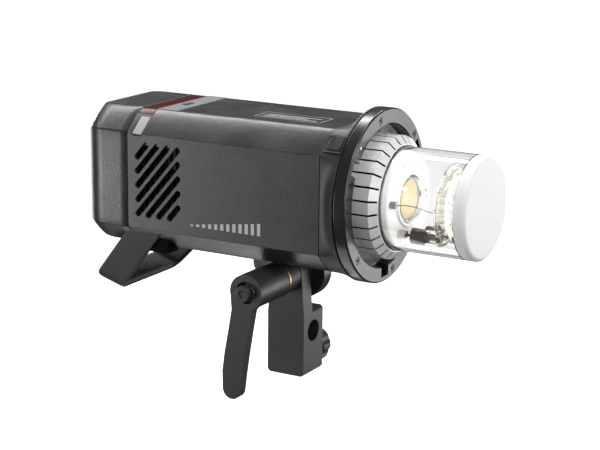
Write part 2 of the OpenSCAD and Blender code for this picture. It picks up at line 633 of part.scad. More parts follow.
module capacitors() color("midnightblue") for (y = [-32, 0, 32]) rod_x(-95, -20, 15, y, 112);
module main_board() color("darkgreen") union() {
    box([-90, 43, 130], [-5, 44.6, 174]);
    for (i = [0:4]) box([-84 + 16 * i, 39, 136], [-76 + 16 * i, 43, 146 + 3 * i]);
}
module fan_frame() color("#161616") difference() {
    box([4, -36, opt_z - 36], [19, 36, opt_z + 36]);
    rod_x(0, 30, 33.5);
}
module fan_rotor() color("#2a2a2a") union() {
    rod_x(5, 18, 12);
    for (i = [0:6]) translate([11.5, 0, opt_z]) rotate([i * 360 / 7, 0, 0]) rotate([0, 0, 35])
        translate([-0.8, -6, 11]) cube([1.6, 12, 20.5]);
}

stand_block();
block_rosette();
clamp_pad();
clamp_knob();
tilt_bolt();
bolt_cap();
brass_washer();
lever_collar();
tilt_lever();
lever_spring();
head_ear();
ear_rosette();
ear_cap();
lower_shell();
upper_shell();
side_panel_near();
side_panel_far();
vent_mesh();
shell_screws();
front_flange();
cup_wall();
bayonet_ring();
ring_screws();
release_frame();
release_slider();
lock_pin();
fin_drum();
base_plate();
led_chip();
led_lens();
flash_tube();
tube_electrodes();
plug_posts();
trigger_wire();
glass_dome();
frosted_cap();
rear_cap();
battery_bay();
battery_pack();
battery_strip();
battery_latch();
red_window();
status_window();
handle_strap();
handle_grip();
rear_panel();
display_window();
control_dial();
set_button();
soft_key_1();
soft_key_2();
soft_key_3();
soft_key_4();
test_button();
power_button();
jack_block();
capacitors();
main_board();
fan_frame();
fan_rotor();
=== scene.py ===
import bpy
import bmesh
import math
from mathutils import Matrix, Vector


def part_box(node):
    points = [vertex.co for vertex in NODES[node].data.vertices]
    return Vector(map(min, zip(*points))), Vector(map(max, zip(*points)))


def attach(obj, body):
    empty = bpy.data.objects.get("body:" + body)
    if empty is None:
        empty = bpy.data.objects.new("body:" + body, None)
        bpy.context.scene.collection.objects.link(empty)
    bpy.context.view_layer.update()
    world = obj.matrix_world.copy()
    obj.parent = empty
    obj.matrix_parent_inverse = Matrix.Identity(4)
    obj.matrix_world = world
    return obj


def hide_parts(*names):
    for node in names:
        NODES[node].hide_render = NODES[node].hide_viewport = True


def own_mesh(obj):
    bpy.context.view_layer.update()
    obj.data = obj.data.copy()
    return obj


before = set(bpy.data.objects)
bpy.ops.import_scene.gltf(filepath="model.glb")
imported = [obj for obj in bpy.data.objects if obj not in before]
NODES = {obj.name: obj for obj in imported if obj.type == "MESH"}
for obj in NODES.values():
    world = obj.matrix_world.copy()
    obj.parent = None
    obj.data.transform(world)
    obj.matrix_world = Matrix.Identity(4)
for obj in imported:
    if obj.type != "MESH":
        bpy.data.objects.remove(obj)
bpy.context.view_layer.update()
SCENE = bpy.context.scene
MM = 0.001
TAU = 2 * math.pi

# Places in millimetres, worked out from the frame.
RING_LO, RING_HI = (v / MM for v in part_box("bayonet_ring"))
OPT_Z = (RING_LO.z + RING_HI.z) / 2
RING_R = (RING_HI.y - RING_LO.y) / 2
SHELL_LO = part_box("lower_shell")[0] / MM
SHELL_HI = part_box("upper_shell")[1] / MM
CAP_LO, CAP_HI = (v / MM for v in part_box("rear_cap"))
DOME_LO, DOME_HI = (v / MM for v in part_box("glass_dome"))
SIDE_Y = SHELL_HI.y
# The housing's outline: half widths of its flat top and bottom, and the ends of its flat sides.
TOP_FLAT_Y, LOW_FLAT_Y = 36.0, 37.0
SIDE_Z = (106.0, 176.0)
PANEL_T = 2.0
# The opening for the vents, and the rounding of the rear cap's corners and of its rear edge.
VENT_X, VENT_Z = (-106.5, -63.5), (114.0, 168.0)
CAP_CORNER, CAP_EDGE = 20.0, 9.0
# The flash tube's outer and inner radius.
TUBE_R, TUBE_BORE_R = 5.5, 3.9
# How far printed marks reach into a surface and stand out of it.
MARK_SUNK, MARK_PROUD = 0.3, 0.08


# ---------------------------------------------------------------- camera, floor and light

def make_camera():
    azimuth, elevation, roll = (math.radians(a) for a in (29.67, 13.76, 0.6))
    aim = Vector((22.7, -34.5, 120.5)) * MM
    distance = 1.2
    back = Vector((math.sin(azimuth) * math.cos(elevation), -math.cos(azimuth) * math.cos(elevation),
                   math.sin(elevation)))
    level = Vector((math.cos(azimuth), math.sin(azimuth), 0))
    upright = back.cross(level)
    right = level * math.cos(roll) + upright * math.sin(roll)
    up = upright * math.cos(roll) - level * math.sin(roll)
    data = bpy.data.cameras.new("camera")
    data.sensor_width = 36
    data.lens = 102.1
    data.clip_start = 0.05
    data.clip_end = 50
    camera = bpy.data.objects.new("camera", data)
    turn = Matrix((right, up, back)).transposed()
    camera.matrix_world = Matrix.Translation(aim + back * distance) @ turn.to_4x4()
    SCENE.collection.objects.link(camera)
    SCENE.camera = camera


def area_light(name, place, target, size, power):
    """A rectangle of light; place, target and size in metres, power in watts."""
    data = bpy.data.lights.new(name, "AREA")
    data.shape = "RECTANGLE"
    data.size, data.size_y = size
    data.energy = power
    light = bpy.data.objects.new(name, data)
    light.location = place
    look = Vector(target) - Vector(place)
    light.rotation_euler = look.to_track_quat("-Z", "Y").to_euler()
    light.visible_camera = False
    SCENE.collection.objects.link(light)


def make_world():
    """White behind the object, a dim room for gloss, and a white band round the horizon for glass."""
    world = bpy.data.worlds.new("studio")
    world.use_nodes = True
    tree = world.node_tree
    tree.nodes.clear()
    out = tree.nodes.new("ShaderNodeOutputWorld")
    path = tree.nodes.new("ShaderNodeLightPath")
    place = tree.nodes.new("ShaderNodeTexCoord")
    parts = tree.nodes.new("ShaderNodeSeparateXYZ")
    height = tree.nodes.new("ShaderNodeMath")
    height.operation = "ABSOLUTE"
    band = tree.nodes.new("ShaderNodeMapRange")
    band.interpolation_type = "SMOOTHSTEP"
    band.inputs["From Min"].default_value = 0.40
    band.inputs["From Max"].default_value = 0.80
    band.inputs["To Min"].default_value = 1.0
    band.inputs["To Max"].default_value = 0.12
    tree.links.new(place.outputs["Generated"], parts.inputs[0])
    tree.links.new(parts.outputs["Z"], height.inputs[0])
    tree.links.new(height.outputs[0], band.inputs["Value"])

    def background(strength):
        node = tree.nodes.new("ShaderNodeBackground")
        node.inputs["Color"].default_value = (1, 1, 1, 1)
        node.inputs["Strength"].default_value = strength
        return node

    def choose(ray, other, chosen):
        node = tree.nodes.new("ShaderNodeMixShader")
        tree.links.new(path.outputs[ray], node.inputs["Fac"])
        tree.links.new(other.outputs[0], node.inputs[1])
        tree.links.new(chosen.outputs[0], node.inputs[2])
        return node

    through = background(1.0)
    tree.links.new(band.outputs[0], through.inputs["Strength"])
    sky = choose("Is Glossy Ray", background(0.34), background(0.09))
    sky = choose("Is Transmission Ray", sky, through)
    sky = choose("Is Camera Ray", sky, background(1.0))
    tree.links.new(sky.outputs[0], out.inputs["Surface"])
    SCENE.world = world
    SCENE.view_settings.view_transform = "Standard"
    SCENE.view_settings.look = "None"


def make_studio():
    centre = (0, 0, 0.13)
    area_light("key_left", (-0.98, -0.93, -0.05), centre, (0.28, 0.7), 7)
    area_light("low_left", (-0.6, 0.1, -1.0), centre, (1.3, 0.4), 3)
    area_light("top_strip", (-0.5, 0.52, 1.08), centre, (1.7, 0.14), 17)
    area_light("front_over", (-0.02, 0.12, 1.25), centre, (0.3, 0.3), 4.5)
    area_light("front_fill", (1.25, -0.75, 0.45), (0.05, 0, 0.13), (0.5, 0.8), 4.5)
    area_light("front_top", (0.75, -0.35, 1.0), (0.08, 0, 0.14), (0.4, 0.4), 8)
    area_light("front_far", (0.9, 1.0, -0.05), (0.07, 0, 0.13), (0.7, 0.6), 5)
    area_light("rear_fill", (-1.35, 0.55, -0.05), centre, (0.6, 0.8), 4.5)
    area_light("flare", (-1.1, 0.85, 0.2), (0.06, 0, 0.18), (0.4, 0.4), 6)
    area_light("far_fill", (0.1, 1.35, -0.05), centre, (0.8, 0.6), 6)
    floor = mesh_object("floor", *disc_mesh(12.0, -0.2, 96))
    pale = surface("floor", (0.5, 0.5, 0.5), rough=0.9, speckle=0, bump=0, Emission_Color=(1, 1, 1, 1),
                   Emission_Strength=0.9)
    floor.data.materials.append(pale)
    # The floor is only looked at: it doesn't light, shade or mirror in the object.
    floor.visible_diffuse = False
    floor.visible_glossy = False
    floor.visible_shadow = False
    floor.visible_transmission = False


# ---------------------------------------------------------------- mesh helpers

def mesh_object(name, verts, faces, smooth=False):
    mesh = bpy.data.meshes.new(name)
    mesh.from_pydata([tuple(v) for v in verts], [], faces)
    mesh.validate()
    for poly in mesh.polygons:
        poly.use_smooth = smooth
    piece = bpy.data.objects.new(name, mesh)
    SCENE.collection.objects.link(piece)
    return piece


def outward(piece):
    """Turns every face's normal outwards and joins points that coincide."""
    bm = bmesh.new()
    bm.from_mesh(piece.data)
    bmesh.ops.remove_doubles(bm, verts=bm.verts, dist=1e-6)
    bmesh.ops.recalc_face_normals(bm, faces=bm.faces)
    bm.to_mesh(piece.data)
    bm.free()
    piece.data.set_sharp_from_angle(angle=math.radians(32))
    return piece


def disc_mesh(radius, z, steps):
    angles = [TAU * i / steps for i in range(steps)]
    return [(radius * math.cos(a), radius * math.sin(a), z) for a in angles], [list(range(steps))]


def grid_faces(rows, columns, wrap_rows=False, wrap_columns=False):
    faces = []
    for i in range(rows if wrap_rows else rows - 1):
        for j in range(columns if wrap_columns else columns - 1):
            a, b = i * columns + j, i * columns + (j + 1) % columns
            c, d = ((i + 1) % rows) * columns + (j + 1) % columns, ((i + 1) % rows) * columns + j
            faces.append((a, b, c, d))
    return faces


def loft(name, loops, close_rows=False, caps=False):
    """A smooth skin through closed loops of the same count, in millimetres."""
    columns = len(loops[0])
    verts = [Vector(p) * MM for loop in loops for p in loop]
    faces = grid_faces(len(loops), columns, close_rows, True)
    if caps:
        faces.append(tuple(range(columns)))
        faces.append(tuple((len(loops) - 1) * columns + j for j in range(columns)))
    return outward(mesh_object(name, verts, faces, True))


def lathe(name, profile, steps):
    """Spins a closed outline of (x, r) points in millimetres round the light axis."""
    loops = [[(x, r * math.sin(TAU * j / steps), OPT_Z + r * math.cos(TAU * j / steps)) for j in range(steps)]
             for x, r in profile]
    return loft(name, loops, close_rows=True)


def round_the_line(points, steps):
    """For each point of a line, unit vectors all round it that don't twist from one point to the next."""
    across = Vector((0.31, 0.52, 0.79))
    circles = []
    for i in range(len(points)):
        along = (points[min(i + 1, len(points) - 1)] - points[max(i - 1, 0)]).normalized()
        across = (across - along * across.dot(along)).normalized()
        other = along.cross(across)
        circles.append([across * math.cos(TAU * j / steps) + other * math.sin(TAU * j / steps)
                        for j in range(steps)])
    return circles


def rings(points, circles, radius):
    return [[p + radius * d for d in circle] for p, circle in zip(points, circles)]


def tube(name, points, radius, steps):
    """A round rod swept along points, in millimetres."""
    points = [Vector(p) for p in points]
    return loft(name, rings(points, round_the_line(points, steps), radius), caps=True)


def hollow_tube(name, points, radius, bore, steps=28):
    """A thick-walled glass tube along points, in millimetres."""
    circles = round_the_line(points, steps)
    return loft(name, rings(points, circles, radius) + rings(points, circles, bore)[::-1], close_rows=True)


def box_mesh(low, high):
    corners = [(x, y, z) for x in (low[0], high[0]) for y in (low[1], high[1]) for z in (low[2], high[2])]
    faces = [(0, 1, 3, 2), (4, 6, 7, 5), (0, 4, 5, 1), (2, 3, 7, 6), (0, 2, 6, 4), (1, 5, 7, 3)]
    return corners, faces


def boxes(name, places):
    """One piece of several separate boxes, in millimetres."""
    verts, faces = [], []
    for low, high in places:
        corners, sides = box_mesh(low, high)
        base = len(verts)
        verts += [Vector(c) * MM for c in corners]
        faces += [tuple(base + i for i in side) for side in sides]
    return outward(mesh_object(name, verts, faces))


def round_edges(piece, width, segments, angle):
    """Rounds the edges that are sharper than angle."""
    edge = piece.modifiers.new("edge", "BEVEL")
    edge.width = width * MM
    edge.segments = segments
    edge.limit_method = "ANGLE"
    edge.angle_limit = math.radians(angle)


def shade_evenly(piece, weight, mode="FACE_AREA"):
    shade = piece.modifiers.new("shade", "WEIGHTED_NORMAL")
    shade.mode = mode
    shade.weight = weight


def bevel(piece, width, segments):
    """Joins what lies in one plane, rounds the edges, and shades the faces evenly."""
    weld = piece.modifiers.new("weld", "WELD")
    weld.merge_threshold = 2e-6
    flat = piece.modifiers.new("flat", "DECIMATE")
    flat.decimate_type = "DISSOLVE"
    flat.angle_limit = math.radians(0.6)
    round_edges(piece, width, segments, 28)
    shade_evenly(piece, 80, "FACE_AREA_WITH_ANGLE")
    for poly in piece.data.polygons:
        poly.use_smooth = True


def clear_imported_normals(piece):
    for name in ("custom_normal", "sharp_edge", "sharp_face"):
        attribute = piece.data.attributes.get(name)
        if attribute is not None:
            piece.data.attributes.remove(attribute)


def dress(piece, material):
    piece.data.materials.clear()
    piece.data.materials.append(material)
    for poly in piece.data.polygons:
        poly.material_index = 0


def stand_for(piece, body, slot, material, *nodes):
    """A finished piece: its material and body, and the CAD nodes that it replaces. slot is not used."""
    dress(piece, material)
    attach(piece, body)
    if nodes:
        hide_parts(*nodes)
    return piece


# ---------------------------------------------------------------- materials

def surface(name, colour, rough=0.45, metal=0.0, speckle=0.12, bump=0.15, grain=0.35, stretch=(1, 1, 1),
            spread=0.12, coat=0.0, **sockets):
    """A material with fine grain, uneven gloss and slight changes of shade.
    grain is the grain's size in millimetres, stretch draws it out along X, Y or Z."""
    material = bpy.data.materials.new(name)
    material.use_nodes = True
    tree = material.node_tree
    shader = tree.nodes["Principled BSDF"]
    shader.inputs["Base Color"].default_value = (*colour, 1)
    shader.inputs["Roughness"].default_value = rough
    shader.inputs["Metallic"].default_value = metal
    if coat:
        shader.inputs["Coat Weight"].default_value = coat
        shader.inputs["Coat Roughness"].default_value = 0.12
    for socket, value in sockets.items():
        shader.inputs[socket.replace("_", " ")].default_value = value
    if not speckle and not bump:
        return material
    place = tree.nodes.new("ShaderNodeTexCoord")
    fine_map = tree.nodes.new("ShaderNodeMapping")
    fine_map.inputs["Scale"].default_value = [1 / s for s in stretch]
    tree.links.new(place.outputs["Object"], fine_map.inputs["Vector"])
    fine = tree.nodes.new("ShaderNodeTexNoise")
    fine.inputs["Scale"].default_value = 1 / (grain * MM)
    fine.inputs["Detail"].default_value = 4
    tree.links.new(fine_map.outputs[0], fine.inputs["Vector"])
    broad = tree.nodes.new("ShaderNodeTexNoise")
    broad.inputs["Scale"].default_value = 38
    broad.inputs["Detail"].default_value = 6
    tree.links.new(place.outputs["Object"], broad.inputs["Vector"])
    if speckle:
        both = tree.nodes.new("ShaderNodeMath")
        both.operation = "ADD"
        tree.links.new(fine.outputs["Fac"], both.inputs[0])
        tree.links.new(broad.outputs["Fac"], both.inputs[1])
        tone = tree.nodes.new("ShaderNodeMapRange")
        tone.inputs["From Min"].default_value = 0.6
        tone.inputs["From Max"].default_value = 1.4
        tone.inputs["To Min"].default_value = 0.0
        tone.inputs["To Max"].default_value = 1.0
        tree.links.new(both.outputs[0], tone.inputs["Value"])
        mix = tree.nodes.new("ShaderNodeMix")
        mix.data_type = "RGBA"
        mix.inputs["A"].default_value = (*(c * (1 - speckle) for c in colour), 1)
        mix.inputs["B"].default_value = (*(min(1, c * (1 + speckle)) for c in colour), 1)
        tree.links.new(tone.outputs[0], mix.inputs["Factor"])
        tree.links.new(mix.outputs["Result"], shader.inputs["Base Color"])
        gloss = tree.nodes.new("ShaderNodeMapRange")
        gloss.inputs["From Min"].default_value = 0.3
        gloss.inputs["From Max"].default_value = 0.7
        gloss.inputs["To Min"].default_value = max(0.02, rough * (1 - spread))
        gloss.inputs["To Max"].default_value = min(1, rough * (1 + spread))
        tree.links.new(broad.outputs["Fac"], gloss.inputs["Value"])
        tree.links.new(gloss.outputs[0], shader.inputs["Roughness"])
    if bump:
        relief = tree.nodes.new("ShaderNodeBump")
        relief.inputs["Strength"].default_value = bump
        relief.inputs["Distance"].default_value = grain * MM * 0.25
        tree.links.new(fine.outputs["Fac"], relief.inputs["Height"])
        tree.links.new(relief.outputs[0], shader.inputs["Normal"])
    return material


def with_painted_edge_shade(name, face, edge, start, **values):
    """A surface whose colour goes from face to edge where it is seen edge on: mostly painted shade for the
    dark that glass shows at its edges, a little the deeper tint of its longer path there.
    """
    material = surface(name, face, **values)
    tree = material.node_tree
    shader = tree.nodes["Principled BSDF"]
    # Painted shade: the colour turns to the edge colour as the surface is seen more edge on.
    view = tree.nodes.new("ShaderNodeLayerWeight")
    view.inputs["Blend"].default_value = 0.5
    ramp = tree.nodes.new("ShaderNodeMapRange")
    ramp.interpolation_type = "SMOOTHSTEP"
    ramp.inputs["From Min"].default_value = start
    ramp.inputs["From Max"].default_value = 0.98
    mix = tree.nodes.new("ShaderNodeMix")
    mix.data_type = "RGBA"
    mix.inputs["A"].default_value = (*face, 1)
    mix.inputs["B"].default_value = (*edge, 1)
    tree.links.new(view.outputs["Facing"], ramp.inputs["Value"])
    tree.links.new(ramp.outputs[0], mix.inputs["Factor"])
    tree.links.new(mix.outputs["Result"], shader.inputs["Base Color"])
    return material


def glass(name, face, edge):
    # Clear glass, with painted shade at its edges.
    return with_painted_edge_shade(name, face, edge, 0.72, rough=0.0, speckle=0, bump=0,
                       Transmission_Weight=1.0, IOR=1.45)


def phosphor(name):
    """A chip-on-board lamp: a field of small squares under yellow phosphor."""
    material = surface(name, (0.94, 0.72, 0.30), rough=0.35, speckle=0.08, bump=0.1)
    tree = material.node_tree
    shader = tree.nodes["Principled BSDF"]
    place = tree.nodes.new("ShaderNodeTexCoord")
    bricks = tree.nodes.new("ShaderNodeTexBrick")
    bricks.offset = 0
    bricks.inputs["Scale"].default_value = 420
    bricks.inputs["Color1"].default_value = (0.68, 0.56, 0.33, 1)
    bricks.inputs["Color2"].default_value = (0.66, 0.53, 0.29, 1)
    bricks.inputs["Mortar"].default_value = (0.60, 0.42, 0.18, 1)
    bricks.inputs["Mortar Size"].default_value = 0.03
    turn = tree.nodes.new("ShaderNodeMapping")
    turn.inputs["Rotation"].default_value = (0, math.pi / 2, 0)
    tree.links.new(place.outputs["Object"], turn.inputs["Vector"])
    tree.links.new(turn.outputs[0], bricks.inputs["Vector"])
    tree.links.new(bricks.outputs["Color"], shader.inputs["Base Color"])
    return material


def fin_metal_with_painted_groove_shade(name):
    """Bright turned aluminium, with painted shade that darkens the grooves below the drum's outer surface."""
    material = surface(name, (0.86, 0.87, 0.88), rough=0.27, metal=0.42, speckle=0.05, bump=0.15, grain=0.3)
    lo, hi = (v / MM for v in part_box("fin_drum"))
    # The drum's radius, and from where and how steeply it narrows towards the front.
    radius, slope_x, slope = (hi.y - lo.y) / 2, 81.0, 1.16
    tree = material.node_tree
    shader = tree.nodes["Principled BSDF"]
    place = tree.nodes.new("ShaderNodeTexCoord")
    parts = tree.nodes.new("ShaderNodeSeparateXYZ")
    tree.links.new(place.outputs["Object"], parts.inputs[0])

    def compute(operation, *values):
        node = tree.nodes.new("ShaderNodeMath")
        node.operation = operation
        for socket, value in zip(node.inputs, values):
            if isinstance(value, (int, float)):
                socket.default_value = value
            else:
                tree.links.new(value, socket)
        return node.outputs[0]

    # Painted shade in the grooves: how deep a point lies below the drum's outer surface sets how dark it is
    # painted.
    high = compute("SUBTRACT", parts.outputs["Z"], OPT_Z * MM)
    squares = compute("ADD", compute("POWER", parts.outputs["Y"], 2), compute("MULTIPLY", high, high))
    from_axis = compute("SQRT", squares)
    past_edge = compute("MAXIMUM", compute("SUBTRACT", parts.outputs["X"], slope_x * MM), 0)
    lost = compute("MULTIPLY", past_edge, slope)
    depth = compute("SUBTRACT", compute("SUBTRACT", radius * MM, lost), from_axis)
    shade = tree.nodes.new("ShaderNodeMapRange")
    shade.inputs["From Min"].default_value = 0.15 * MM
    shade.inputs["From Max"].default_value = 0.5 * MM
    tree.links.new(depth, shade.inputs["Value"])
    mix = tree.nodes.new("ShaderNodeMix")
    mix.data_type = "RGBA"
    tree.links.new(shade.outputs[0], mix.inputs["Factor"])
    tree.links.new(shader.inputs["Base Color"].links[0].from_socket, mix.inputs["A"])
    # The near black colour of the painted groove shade.
    mix.inputs["B"].default_value = (0.015, 0.015, 0.016, 1)
    tree.links.new(mix.outputs["Result"], shader.inputs["Base Color"])
    return material


LENGTHWISE = (2, 1, 1)
M = {
    "shell": surface("shell", (0.018, 0.018, 0.019), rough=0.31, speckle=0.6, bump=0.5,
                     grain=1.0, stretch=LENGTHWISE),
    "panel": surface("panel", (0.024, 0.024, 0.025), rough=0.39, speckle=0.6, bump=0.5,
                     grain=1.0, stretch=LENGTHWISE),
    "black": surface("black", (0.010, 0.010, 0.011), rough=0.42, bump=0.2, grain=0.4),
    "mesh": surface("mesh", (0.003, 0.003, 0.003), rough=0.9, bump=0.2, grain=0.5, Specular_IOR_Level=0.1),
    "cast": surface("cast", (0.030, 0.031, 0.033), rough=0.42, metal=0.35, speckle=0.25, bump=0.3, grain=0.5),
    "lever": surface("lever", (0.028, 0.028, 0.030), rough=0.40, metal=0.3, speckle=0.2, bump=0.3, grain=0.5),
    "steel": surface("steel", (0.55, 0.58, 0.63), rough=0.25, metal=1, speckle=0.1, bump=0.1, grain=0.2),
    "brass": surface("brass", (0.50, 0.33, 0.14), rough=0.26, metal=1, speckle=0.08, bump=0.05, grain=0.2),
    "flange": surface("flange", (0.022, 0.022, 0.023), rough=0.46, speckle=0.4, bump=0.5, grain=0.5),
    "dark_steel": surface("dark_steel", (0.06, 0.06, 0.065), rough=0.25, metal=0.9, speckle=0.1, bump=0.1,
                          grain=0.2),
    "ring": surface("ring", (0.060, 0.060, 0.062), rough=0.23, metal=0.8, speckle=0.15, bump=0.1, grain=0.25),
    "cup": surface("cup", (0.85, 0.85, 0.86), rough=0.28, metal=0.4, speckle=0.1, bump=0.05, grain=0.3),
    "fins": fin_metal_with_painted_groove_shade("fins"),
    "ceramic": surface("ceramic", (0.74, 0.74, 0.735), rough=0.35, speckle=0.03, bump=0.05, grain=0.5),
    "phosphor": phosphor("phosphor"),
    # The second colour of the glass, the tube glass and the frost is painted shade, shown where they are seen
    # edge on.
    "glass": glass("glass", (0.975, 0.98, 0.975), (0.26, 0.27, 0.27)),
    "tube_glass": glass("tube_glass", (0.95, 0.93, 0.87), (0.28, 0.23, 0.16)),
    "frost": with_painted_edge_shade("frost", (0.68, 0.68, 0.685), (0.34, 0.34, 0.345), 0.75, rough=0.45, speckle=0,
                         bump=0.04, grain=0.2),
    "post": surface("post", (0.55, 0.50, 0.46), rough=0.24, metal=1, speckle=0.3, bump=0.1, grain=0.4),
    "electrode": surface("electrode", (0.014, 0.008, 0.006), rough=0.35, speckle=0.4, bump=0.1, grain=1.5),
    "wire": surface("wire", (0.32, 0.30, 0.28), rough=0.3, metal=1, speckle=0.1, bump=0.05, grain=0.2),
    "red": surface("red", (0.06, 0.003, 0.006), rough=0.25, speckle=0.15, bump=0.0, Specular_IOR_Level=0.15),
    "status": surface("status", (0.30, 0.30, 0.34), rough=0.3, speckle=0.03, bump=0.03, grain=0.4),
    "strip": surface("strip", (0.16, 0.165, 0.175), rough=0.45, speckle=0.1, bump=0.15, grain=0.3),
    "handle": surface("handle", (0.020, 0.020, 0.021), rough=0.42, speckle=0.15, bump=0.18, grain=0.35),
    "grip": surface("grip", (0.014, 0.014, 0.014), rough=0.45, speckle=0.2, bump=0.3, grain=0.5),
    "gloss": surface("gloss", (0.006, 0.006, 0.007), rough=0.10, speckle=0.1, bump=0.0, coat=0.5),
    "display": surface("display", (0.010, 0.016, 0.022), rough=0.06, speckle=0.1, bump=0.0, coat=1.0),
    "marks": surface("marks", (0.42, 0.66, 0.80), rough=0.4, speckle=0.03, bump=0.03,
                     Emission_Color=(0.35, 0.65, 0.85, 1), Emission_Strength=0.5),
    "key": surface("key", (0.07, 0.07, 0.074), rough=0.55, speckle=0.1, bump=0.2, grain=0.3),
    "red_key": surface("red_key", (0.38, 0.02, 0.02), rough=0.25, speckle=0.1, bump=0.05),
    "white_key": surface("white_key", (0.75, 0.75, 0.78), rough=0.3, speckle=0.04, bump=0.05),
    "sleeve": surface("sleeve", (0.02, 0.03, 0.12), rough=0.3, speckle=0.1, bump=0.1),
    "board": surface("board", (0.01, 0.09, 0.035), rough=0.35, speckle=0.15, bump=0.1),
    "print": surface("print", (0.42, 0.42, 0.43), rough=0.5, speckle=0.05, bump=0.1, grain=0.3),
}


# ---------------------------------------------------------------- housing skin

def bezier(a, b, c, steps):
    return [tuple((1 - t) ** 2 * a[k] + 2 * t * (1 - t) * b[k] + t ** 2 * c[k] for k in (0, 1))
            for t in (i / steps for i in range(steps + 1))]


def line(a, b, steps):
    return [tuple(a[k] + (b[k] - a[k]) * i / steps for k in (0, 1)) for i in range(steps + 1)]


def edge_to_middle(half, crease, flat, level, dip):
    """From a side crease to the middle: a softly rounded slope, then flat."""
    slope = bezier((half, crease), (flat + 2.5, level + dip), (flat - 3, level), 24)
    return slope + line((flat - 3, level), (0, level), 16)[1:]


def top_half(half=SIDE_Y, top=SHELL_HI.z, flat=TOP_FLAT_Y, crease=SIDE_Z[1]):
    return edge_to_middle(half, crease, flat, top, -0.8)


def low_half(half=SIDE_Y, low=SHELL_LO.z, flat=LOW_FLAT_Y, crease=SIDE_Z[0]):
    return edge_to_middle(half, crease, flat, low, 0.8)


def mirrored(half):
    """The whole outline from the near side, over the middle, to the far side."""
    return [(-y, z) for y, z in half] + [(y, z) for y, z in reversed(half[:-1])]


def skin(name, outline, places, keep, thickness, body, slot, material, *nodes):
    """An outline drawn along X, without the faces that keep refuses, and thickened inwards."""
    verts = [Vector((x, y, z)) * MM for x in places for y, z in outline]
    faces = []
    for a, b, c, d in grid_faces(len(places), len(outline)):
        centre = (verts[a] + verts[b] + verts[c] + verts[d]) / 4 / MM
        if keep(centre):
            faces.append((a, b, c, d))
    piece = mesh_object(name, verts, faces, True)
    bm = bmesh.new()
    bm.from_mesh(piece.data)
    loose = [v for v in bm.verts if not v.link_faces]
    bmesh.ops.delete(bm, geom=loose, context="VERTS")
    bm.normal_update()
    axis = Vector((0, 0, OPT_Z)) * MM
    face = max(bm.faces, key=lambda f: f.calc_area())
    middle = face.calc_center_median()
    if face.normal.dot(Vector((0, middle.y, middle.z)) - axis) < 0:
        bmesh.ops.reverse_faces(bm, faces=bm.faces)
    bm.to_mesh(piece.data)
    bm.free()
    wall = piece.modifiers.new("wall", "SOLIDIFY")
    wall.thickness = thickness * MM
    wall.offset = -1
    wall.use_even_offset = True
    round_edges(piece, 0.35, 3, 35)
    shade_evenly(piece, 60)
    return stand_for(piece, body, slot, material, *nodes)


def stations(x0, x1, *breaks):
    """Places along X from x0 to x1 that include the breaks, at most 6 mm apart."""
    step = 6.0
    marks = sorted({x0, x1, *[b for b in breaks if x0 < b < x1]})
    places = []
    for a, b in zip(marks, marks[1:]):
        count = max(1, math.ceil((b - a) / step))
        places += [a + (b - a) * i / count for i in range(count)]
    return places + [x1]


def red_level(p):
    return p.z > 188


def status_level(p):
    return p.y < 0 and 175.5 < p.z < 187


def make_housing():
    red_lo, red_hi = (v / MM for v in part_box("red_window"))
    status_lo, status_hi = (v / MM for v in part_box("status_window"))
    pack_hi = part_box("battery_pack")[1] / MM
    strip_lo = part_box("battery_strip")[0] / MM
    gap = 0.3
    bay_x0, bay_x1, bay_y = strip_lo.x - gap, pack_hi.x + gap, pack_hi.y + gap
    inner = SIDE_Y - PANEL_T

    def in_red(p):
        return red_lo.x < p.x < red_hi.x and red_level(p)

    def in_status(p):
        return status_lo.x < p.x < status_hi.x and status_level(p)

    def in_bay(p):
        return bay_x0 < p.x < bay_x1 and abs(p.y) < bay_y

    def in_vent(p):
        return abs(abs(p.y) - inner) < 0.5 and VENT_X[0] < p.x < VENT_X[1] and VENT_Z[0] < p.z < VENT_Z[1]

    def upper_solid(p):
        return not (in_red(p) or in_status(p) or in_bay(p) or in_vent(p))

    def lower_solid(p):
        return not in_vent(p)

    # The sides are set in by the side panels' thickness; a tiny step keeps the two halves apart.
    step_up = [(inner, OPT_Z + 0.02), (inner, SIDE_Z[1] - 8), (inner, SIDE_Z[1] - 0.02)]
    step_down = [(inner, OPT_Z - 0.02), (inner, SIDE_Z[0] + 8), (inner, SIDE_Z[0] + 0.02)]
    over = mirrored(step_up + top_half())
    under = mirrored(step_down + low_half())
    along = stations(SHELL_LO.x, SHELL_HI.x, red_lo.x, red_hi.x, status_lo.x, status_hi.x, bay_x0, bay_x1,
                     *VENT_X)
    wall = 2.3
    skin("upper_case", over, along, upper_solid, wall, "head", "shell_plastic", M["shell"], "upper_shell")
    skin("lower_case", under, along, lower_solid, wall, "head", "shell_plastic", M["shell"], "lower_shell")
    outline = mirrored(top_half())
    skin("red_band", outline, stations(red_lo.x + 0.15, red_hi.x - 0.15), red_level, 1.5,
         "head", "red_lens", M["red"], "red_window")
    skin("status_lamp", outline, stations(status_lo.x + 0.1, status_hi.x - 0.1), status_level, 1.3,
         "head", "status_lens", M["status"], "status_window")


def rounded(radius, depth):
    """How far a round of this radius falls back at a depth past its start."""
    return 0.0 if depth >= radius else radius - math.sqrt(radius ** 2 - (radius - depth) ** 2)


def cap_loop(depth):
    """The rear cap's outline at a depth in front of the rear face."""
    pull, drop = rounded(CAP_CORNER, depth), rounded(CAP_EDGE, depth)
    half = SIDE_Y - pull
    shift = pull * 0.85
    high_crease, low_crease = SIDE_Z[1] - drop * 0.6, SIDE_Z[0] + drop * 0.6
    over = mirrored(top_half(half, CAP_HI.z - drop, TOP_FLAT_Y - shift, high_crease))
    under = mirrored(low_half(half, CAP_LO.z + drop, LOW_FLAT_Y - shift, low_crease))
    side = line((half, high_crease), (half, low_crease), 10)[1:-1]
    near = [(-y, z) for y, z in reversed(side)]
    x = CAP_LO.x + depth
    return [(x, y, z) for y, z in over + side + list(reversed(under)) + near]


